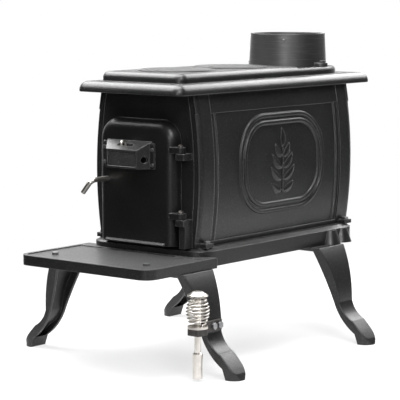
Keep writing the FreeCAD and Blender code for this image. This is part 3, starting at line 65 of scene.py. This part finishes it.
# Node trees
class Tree:
    """The nodes of a material or a world, built link by link."""

    MIX_FACTOR, MIX_FIRST, MIX_SECOND, MIX_RESULT = 0, 6, 7, 2

    def __init__(self, owner):
        owner.use_nodes = True
        self.tree = owner.node_tree

    def clear(self):
        self.tree.nodes.clear()

    def add(self, kind, inputs=None, **settings):
        made = self.tree.nodes.new(kind)
        for key, value in settings.items():
            setattr(made, key, value)
        for socket, value in (inputs or {}).items():
            made.inputs[socket].default_value = value
        return made

    def link(self, source, target):
        self.tree.links.new(source, target)

    def span(self, value, low, high, start=0.3, end=0.7, **settings):
        """Stretches the part of a value between start and end over low to high."""
        limits = {"From Min": start, "From Max": end, "To Min": low, "To Max": high}
        made = self.add("ShaderNodeMapRange", limits, **settings)
        self.link(value, made.inputs["Value"])
        return made.outputs["Result"]

    def mix(self, factor, first, second):
        """Mixes two colours, each of them a tuple or an output."""
        made = self.add("ShaderNodeMix", data_type="RGBA")
        self.link(factor, made.inputs[self.MIX_FACTOR])
        for value, place in ((first, self.MIX_FIRST), (second, self.MIX_SECOND)):
            if isinstance(value, tuple):
                made.inputs[place].default_value = (*value, 1)
            else:
                self.link(value, made.inputs[place])
        return made.outputs[self.MIX_RESULT]

    def mix_shaders(self, factor, first, second):
        made = self.add("ShaderNodeMixShader")
        self.link(factor, made.inputs["Fac"])
        self.link(first.outputs[0], made.inputs[1])
        self.link(second.outputs[0], made.inputs[2])
        return made

    def greater(self, first, second):
        made = self.add("ShaderNodeMath", operation="MAXIMUM")
        self.link(first, made.inputs[0])
        self.link(second, made.inputs[1])
        return made.outputs["Value"]

    def rays(self):
        """Two outputs: one for camera rays, and one for mirror and glass rays."""
        path = self.add("ShaderNodeLightPath").outputs
        return path["Is Camera Ray"], self.greater(path["Is Glossy Ray"], path["Is Transmission Ray"])


class Shader(Tree):
    """A procedural surface."""

    def __init__(self, name):
        self.material = bpy.data.materials.new(name)
        super().__init__(self.material)
        self.bsdf = self.tree.nodes["Principled BSDF"]
        coordinates = self.add("ShaderNodeTexCoord")
        self.place = coordinates.outputs["Object"]
        self.facing = coordinates.outputs["Normal"]

    def noise(self, scale, detail=2, rough=0.5, stretch=None):
        texture = self.add("ShaderNodeTexNoise", {"Scale": scale, "Detail": detail, "Roughness": rough})
        place = self.place
        if stretch:
            mapping = self.add("ShaderNodeMapping", {"Scale": stretch})
            self.link(place, mapping.inputs["Vector"])
            place = mapping.outputs["Vector"]
        self.link(place, texture.inputs["Vector"])
        return texture.outputs["Fac"]

    def ramp(self, value, low, high, start=0.3, end=0.7):
        """Runs from one colour to another between two values."""
        made = self.add("ShaderNodeValToRGB")
        for stop, position, colour in zip(made.color_ramp.elements, (start, end), (low, high)):
            stop.position = position
            stop.color = (*colour, 1)
        self.link(value, made.inputs["Fac"])
        return made.outputs["Color"]

    def bump(self, height, strength, distance, normal):
        made = self.add("ShaderNodeBump", {"Strength": strength, "Distance": distance})
        self.link(height, made.inputs["Height"])
        self.link(normal, made.inputs["Normal"])
        return made.outputs["Normal"]

    def soft_edge(self, radius):
        return self.add("ShaderNodeBevel", {"Radius": radius}, samples=6).outputs["Normal"]

    def edge_mask(self, soft):
        """One along outer and inner edges, nought on open faces."""
        flat = self.add("ShaderNodeNewGeometry").outputs["Normal"]
        dot = self.add("ShaderNodeVectorMath", operation="DOT_PRODUCT")
        self.link(soft, dot.inputs[0])
        self.link(flat, dot.inputs[1])
        return self.span(dot.outputs["Value"], 0.0, 1.0, start=0.985, end=0.90)

    def upward_mask(self):
        """One on faces that look up, nought on the rest."""
        parts = self.add("ShaderNodeSeparateXYZ")
        self.link(self.facing, parts.inputs["Vector"])
        return self.span(parts.outputs["Z"], 0.0, 1.0, start=0.60, end=0.95)

    def finish(self, colour, roughness, normal, **constants):
        self.link(colour, self.bsdf.inputs["Base Color"])
        self.link(roughness, self.bsdf.inputs["Roughness"])
        self.link(normal, self.bsdf.inputs["Normal"])
        for name, value in constants.items():
            self.bsdf.inputs[name.replace("_", " ")].default_value = value
        return self.material


# Materials
def grey(tone):
    return (tone, tone, tone)


def casting_paint(name, dark, light, smooth=0.30, rough=0.44, shine=0.5, stretch=None, ash_and_top_light=None,
                  speck=SPECK, rubbed=RUBBED):
    """Satin black stove paint over sand-cast iron, rubbed a little along its edges."""
    s = Shader(name)
    soft = s.soft_edge(radius=0.0018)
    blotches = s.noise(scale=9, detail=4, rough=0.6)
    tone = s.ramp(blotches, grey(dark), grey(light))
    # Upward faces mix to a lighter grey: ash, and painted light on the tops
    if ash_and_top_light:
        tone = s.mix(s.upward_mask(), tone, s.ramp(blotches, grey(ash_and_top_light[0]), grey(ash_and_top_light[1])))
    grain = s.noise(scale=320, detail=3, rough=0.75, stretch=stretch)
    specks = s.ramp(grain, BLACK, WHITE, start=0.53, end=0.73)
    colour = s.mix(specks, tone, speck)
    colour = s.mix(s.edge_mask(soft), colour, rubbed)
    normal = s.bump(s.noise(scale=60, detail=3), strength=0.10, distance=0.0015, normal=soft)
    normal = s.bump(grain, strength=0.35, distance=0.0005, normal=normal)
    return s.finish(colour, s.span(grain, rough, smooth), normal, Specular_IOR_Level=shine,
                    Sheen_Weight=0.5, Sheen_Roughness=0.18, Sheen_Tint=(0.9, 0.9, 0.92, 1))


def dark_steel():
    """Heat-darkened plain steel."""
    s = Shader("heat_dark_steel")
    tone = s.noise(scale=40, detail=4, rough=0.6)
    colour = s.ramp(tone, (0.050, 0.047, 0.045), (0.105, 0.098, 0.092))
    lines = s.noise(scale=700, stretch=(1, 1, 0.2))
    normal = s.bump(lines, strength=0.25, distance=0.0003, normal=s.soft_edge(radius=0.0008))
    roughness = s.span(s.noise(scale=90, detail=3), low=0.42, high=0.62)
    return s.finish(colour, roughness, normal, Metallic=0.85)


def zinc():
    """Dulled zinc on bolts and nuts."""
    s = Shader("dull_zinc")
    tone = s.noise(scale=120, detail=4, rough=0.6)
    colour = s.ramp(tone, (0.22, 0.22, 0.225), (0.40, 0.40, 0.41))
    pits = s.noise(scale=1100)
    normal = s.bump(pits, strength=0.2, distance=0.0002, normal=s.soft_edge(radius=0.0007))
    roughness = s.span(s.noise(scale=260, detail=3), low=0.30, high=0.48)
    return s.finish(colour, roughness, normal, Metallic=1.0)


def nickel():
    """Bright nickel plate with faint drawing lines and finger marks."""
    s = Shader("bright_nickel")
    tone = s.noise(scale=70, detail=3)
    colour = s.ramp(tone, (0.69, 0.655, 0.61), (0.81, 0.775, 0.73))
    lines = s.noise(scale=900, stretch=(1, 1, 0.05))
    normal = s.bump(lines, strength=0.10, distance=0.0002, normal=s.soft_edge(radius=0.0005))
    marks = s.noise(scale=150, detail=4, rough=0.7)
    return s.finish(colour, s.span(marks, low=0.26, high=0.38), normal, Metallic=1.0)


MATERIALS = {
    "black_casting": casting_paint("black_casting_paint", dark=0.005, light=0.010),
    "dark_steel": dark_steel(),
    "zinc_bolts": zinc(),
    "nickel_plate": nickel(),
}


def paint(thing, material):
    thing.data.materials.clear()
    thing.data.materials.append(material)


for entry in frame["record"]["subparts"]:
    paint(frame["nodes"][entry["node"]], MATERIALS[entry["material_slot"]])

# Ash and painted light grey the top of the hearth: its upward faces are painted lighter
paint(frame["nodes"]["hearth_shelf"],
      casting_paint("ash_and_painted_light_paint", dark=0.005, light=0.010, ash_and_top_light=(0.028, 0.048)))
# The door is painted blacker than the other castings: painted shade on the shaded front
paint(frame["nodes"]["fire_door"],
      casting_paint("door_painted_shade_paint", dark=0.003, light=0.006, shine=0.4, speck=(0.022, 0.022, 0.0225)))
# The collar is turned to size, so its grain runs round it
paint(frame["nodes"]["flue_collar"],
      casting_paint("turned_collar_paint", dark=0.007, light=0.015, smooth=0.38, rough=0.52, shine=0.95,
                    stretch=(0.05, 0.05, 1.0)))


# Pieces
def piece(name, mesh, body, slot):
    """Turns a mesh under construction into a smooth piece that rides on a body."""
    bmesh.ops.recalc_face_normals(mesh, faces=mesh.faces)
    data = bpy.data.meshes.new(name)
    mesh.to_mesh(data)
    mesh.free()
    data.polygons.foreach_set("use_smooth", [True] * len(data.polygons))
    made = bpy.data.objects.new(name, data)
    scene.collection.objects.link(made)
    paint(made, MATERIALS[slot])
    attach(made, body)
    return made


def bow_x(z):
    """Half width of the side panel's sunk field at a height."""
    chord = SHELL_HEAD - SHELL_FOOT
    inward = Vector((-chord.y, chord.x)).normalized()
    rise = math.sqrt(BOW_RADIUS ** 2 - (chord.length / 2) ** 2)
    centre = (SHELL_HEAD + SHELL_FOOT) / 2 + inward * rise
    return centre.x + math.sqrt(BOW_RADIUS ** 2 - (z - centre.y) ** 2) - FIELD_DROP


def closed_grid(mesh, columns, at_top, at_bottom):
    """Adds a closed shell: a grid of top points over a sunk bottom, joined at the rim."""
    rows = len(columns[0])
    top = [[mesh.verts.new(at_top(point)) for point in column] for column in columns]
    bottom = []
    for i, column in enumerate(columns):
        line = []
        for j, point in enumerate(column):
            rim = i in (0, len(columns) - 1) or j in (0, rows - 1)
            line.append(top[i][j] if rim else mesh.verts.new(at_bottom(point)))
        bottom.append(line)
    for grid, turn in ((top, False), (bottom, True)):
        for i in range(len(columns) - 1):
            for j in range(rows - 1):
                corners = [grid[i][j], grid[i + 1][j], grid[i + 1][j + 1], grid[i][j + 1]]
                mesh.faces.new(corners[::-1] if turn else corners)


def leaf(foot, angle, length, width, height):
    """Grid of a pointed leaf with a sharp rib: points are (y, z, height) on the field."""
    along, over = 18, 12
    least_half = 0.0002
    widest_at, fullness = 0.8, 0.9
    bow = 0.10
    veins, vein_slant, vein_depth = 5, 1.4, 0.16
    edge_share, rib_share, rib_sharpness = 0.40, 0.60, 1.6
    end_slope = 6
    ahead = Vector((math.sin(angle), math.cos(angle)))
    beside = Vector((ahead.y, -ahead.x))
    columns = []
    for i in range(along + 1):
        u = i / along
        half = width / 2 * math.sin(math.pi * u ** widest_at) ** fullness + least_half
        bend = bow * length * math.sin(math.pi * u) * (1 if angle >= 0 else -1)
        column = []
        for j in range(over + 1):
            v = 2 * j / over - 1
            aside = abs(v)
            spot = foot + ahead * (length * u) + beside * (half * v + bend)
            rib = (1 - aside) ** rib_sharpness
            wave = math.sin(math.tau * (veins * u - vein_slant * aside))
            vein = vein_depth * wave * (1 - aside) * aside * 4
            slope = min(1, end_slope * u, end_slope * (1 - u))
            rise = height * (edge_share + rib_share * rib + vein) * slope
            edge = i in (0, along) or j in (0, over)
            column.append((spot.x, spot.y, -SUNK if edge else rise))
        columns.append(column)
    return columns


def stem(points, start, end, height):
    """Grid of a half-round stem along points on the field, from one half width to another."""
    over = 8
    last = len(points) - 1
    columns = []
    for i, spot in enumerate(points):
        ahead = (points[min(i + 1, last)] - points[max(i - 1, 0)]).normalized()
        beside = Vector((ahead.y, -ahead.x))
        half = start + (end - start) * i / last
        column = []
        for j in range(over + 1):
            v = 2 * j / over - 1
            place = spot + beside * (half * v)
            rise = height * math.sqrt(max(0.0, 1 - v * v))
            edge = i in (0, last) or j in (0, over)
            column.append((place.x, place.y, -SUNK if edge else rise))
        columns.append(column)
    return columns


def sprig():
    """A plain symmetrical laurel sprig round the oval's centre."""
    foot, head = -0.064, 0.034
    steps = 20
    line = [Vector((0.0, foot + (head - foot) * i / steps)) for i in range(steps + 1)]
    overlap = 0.004
    beside_stem = 0.0015
    tip = Vector((0.0, head - overlap))
    grids = [stem(line, start=0.0030, end=0.0016, height=0.0024),
             leaf(tip, angle=0.0, length=0.042, width=0.019, height=0.0030)]
    # Pairs of leaves: height of the foot, length, lean in radians
    pairs = ((-0.060, 0.042, 1.08), (-0.037, 0.050, 0.92), (-0.013, 0.046, 0.80), (0.010, 0.038, 0.66))
    for level, length, lean in pairs:
        for sign in (-1, 1):
            start = Vector((beside_stem * sign, level))
            grids.append(leaf(start, sign * lean, length, width=0.018, height=0.0028))
    return grids


def side_ornament(name, side):
    """A sprig in the oval of the right (1) or left (-1) side panel."""
    mesh = bmesh.new()

    def on_field(point):
        y, z, rise = point
        z += OVAL_CENTRE.y
        return Vector((side * (bow_x(z) + rise), OVAL_CENTRE.x + y, z))

    def under_field(point):
        return on_field((point[0], point[1], -SUNK))

    for columns in sprig():
        closed_grid(mesh, columns, on_field, under_field)
    return piece(name, mesh, "stove", "black_casting")


def stud(mesh, foot, out, rings, sides):
    """Adds a closed round stud on a face: rings of (radius, rise) from its sunk foot to its crown."""
    across = out.orthogonal().normalized()
    beside = out.cross(across)
    turns = [math.tau * k / sides for k in range(sides)]
    spokes = [across * math.cos(turn) + beside * math.sin(turn) for turn in turns]
    loops = [[mesh.verts.new(foot + out * rise + spoke * radius) for spoke in spokes]
             for radius, rise in rings]
    for first, second in zip(loops, loops[1:]):
        for k in range(sides):
            after = (k + 1) % sides
            mesh.faces.new((first[k], first[after], second[after], second[k]))
    mesh.faces.new(loops[-1])
    mesh.faces.new(loops[0][::-1])


def stippled_field():
    """Low cast points over the bare field of the air box."""
    field_depth = 0.0013
    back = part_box("air_box_cover")[0].y + field_depth
    left, right, foot, head = -0.0545, 0.0145, 0.3895, 0.4155
    pitch = 0.0019
    row_pitch = pitch * 0.866
    wander = 0.00012
    smallest, largest = 0.9, 1.1
    rings = ((0.00075, -0.0003), (0.00060, 0.00020), (0.0003, 0.00042))
    mesh = bmesh.new()
    row = 0
    z = foot
    while z < head:
        x = left + (pitch / 2 if row % 2 else 0)
        while x < right:
            spot = Vector((x + draw.uniform(-wander, wander), back, z + draw.uniform(-wander, wander)))
            size = draw.uniform(smallest, largest)
            stud(mesh, spot, Vector((0, -1, 0)), [(radius * size, rise) for radius, rise in rings], sides=6)
            x += pitch
        z += row_pitch
        row += 1
    made = piece("air_box_stipple", mesh, "door", "black_casting")
    # The stippled field gets a darker paint with scarcely lighter edges: painted shade on the front of the
    # air box
    paint(made, casting_paint("stippled_painted_shade_paint", dark=0.004, light=0.007, shine=0.35,
                              rubbed=(0.009, 0.009, 0.009)))


def pipe_screws():
    """Three dome-headed screws round the mouth of the flue collar, one of them towards the camera."""
    low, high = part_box("flue_collar")
    drop = 0.0126
    mouth, foot = 0.080, 0.0835
    radius = mouth + (foot - mouth) * drop / (high.z - low.z)
    middle = Vector(((low.x + high.x) / 2, (low.y + high.y) / 2, high.z - drop))
    rings = ((0.0022, -0.0008), (0.0022, 0.0004), (0.0018, 0.0010), (0.0011, 0.0014), (0.0004, 0.0015))
    mesh = bmesh.new()
    for turn in (30, 150, 270):
        out = Vector((math.sin(math.radians(turn)), -math.cos(math.radians(turn)), 0))
        stud(mesh, middle + out * radius, out, rings, sides=16)
    piece("pipe_screws", mesh, "stove", "zinc_bolts")


side_ornament("sprig_right", 1)
side_ornament("sprig_left", -1)
stippled_field()
pipe_screws()


# Floor, light and camera
def surroundings():
    """A white backdrop for lenses and mirrors, brightest behind and above; a weak even fill for the rest."""
    world = bpy.data.worlds.new("studio")
    scene.world = world
    tree = Tree(world)
    tree.clear()
    brightest = Vector((-0.50, 0.62, 0.60)).normalized()

    def background(strength):
        return tree.add("ShaderNodeBackground", {"Color": (*WHITE, 1), "Strength": strength})

    fill = background(0.05)
    backdrop = background(1.0)
    mirrored = background(1.0)
    towards = tree.add("ShaderNodeVectorMath", {1: brightest}, operation="DOT_PRODUCT")
    coordinates = tree.add("ShaderNodeTexCoord")
    tree.link(coordinates.outputs["Generated"], towards.inputs[0])
    fall = tree.span(towards.outputs["Value"], low=0.03, high=1.0, start=0.45, end=0.88,
                     interpolation_type="SMOOTHSTEP")
    tree.link(fall, mirrored.inputs["Strength"])
    camera_rays, mirror_rays = tree.rays()
    unseen = tree.mix_shaders(mirror_rays, fill, mirrored)
    whole = tree.mix_shaders(camera_rays, unseen, backdrop)
    out = tree.add("ShaderNodeOutputWorld")
    tree.link(whole.outputs[0], out.inputs["Surface"])


def floor():
    """A pale floor that holds the shadow and fades into the backdrop."""
    half = 2.0
    white_share = 0.72
    fade_start, fade_end = 0.6, 1.5
    corners = [(-half, -half, 0), (half, -half, 0), (half, half, 0), (-half, half, 0)]
    data = bpy.data.meshes.new("floor")
    data.from_pydata(corners, [], [(0, 1, 2, 3)])
    made = bpy.data.objects.new("floor", data)
    scene.collection.objects.link(made)
    made.location = (0.35, 0.30, -0.0003)
    material = bpy.data.materials.new("pale_floor")
    tree = Tree(material)
    tree.clear()
    matt = tree.add("ShaderNodeBsdfDiffuse", {"Color": (0.88, 0.88, 0.88, 1)})
    glow = tree.add("ShaderNodeEmission", {"Strength": 1.0})
    share = tree.add("ShaderNodeMath", {1: white_share}, operation="MULTIPLY")
    tree.link(tree.greater(*tree.rays()), share.inputs[0])
    lit = tree.mix_shaders(share.outputs["Value"], matt, glow)
    away = tree.add("ShaderNodeVectorMath", operation="LENGTH")
    coordinates = tree.add("ShaderNodeTexCoord")
    tree.link(coordinates.outputs["Object"], away.inputs[0])
    fade = tree.span(away.outputs["Value"], low=0.0, high=1.0, start=fade_start, end=fade_end,
                     interpolation_type="SMOOTHSTEP")
    clear = tree.add("ShaderNodeBsdfTransparent")
    faded = tree.mix_shaders(fade, lit, clear)
    out = tree.add("ShaderNodeOutputMaterial")
    tree.link(faded.outputs[0], out.inputs["Surface"])
    data.materials.append(material)


def softbox(name, place, target, size, watts):
    light = bpy.data.lights.new(name, "AREA")
    light.shape = "RECTANGLE"
    light.size, light.size_y = size
    light.energy = watts
    made = bpy.data.objects.new(name, light)
    made.location = place
    made.rotation_euler = (Vector(target) - Vector(place)).to_track_quat("-Z", "Y").to_euler()
    scene.collection.objects.link(made)


def camera():
    """The photograph's camera, as fitted to the straight edges of the stove."""
    tilt, turn = 83.14, 38.868
    lens = bpy.data.cameras.new("camera")
    lens.sensor_width = 36
    lens.lens = 166.66
    made = bpy.data.objects.new("camera", lens)
    made.location = (2.3706, -2.9733, 0.7565)
    made.rotation_euler = (math.radians(tilt), 0, math.radians(turn))
    scene.collection.objects.link(made)
    scene.camera = made


surroundings()
floor()
softbox("softbox_left", place=(-1.2, -0.3, 2.1), target=(0, -0.2, 0.5), size=(2.4, 1.4), watts=104)
softbox("softbox_rear", place=(0.1, 1.7, 1.6), target=(0.1, 0, 0.4), size=(1.6, 0.9), watts=42)
softbox("softbox_top", place=(0.1, -0.35, 2.6), target=(0, -0.3, 0.2), size=(1.6, 1.2), watts=100)
softbox("softbox_camera", place=(2.3, -1.7, 2.5), target=(0, 0.2, 0.5), size=(1.0, 1.0), watts=84)
softbox("softbox_front", place=(1.5, -2.8, 1.0), target=(0, 0.2, 0.55), size=(0.45, 0.9), watts=24)
camera()
scene.view_settings.view_transform = "Standard"
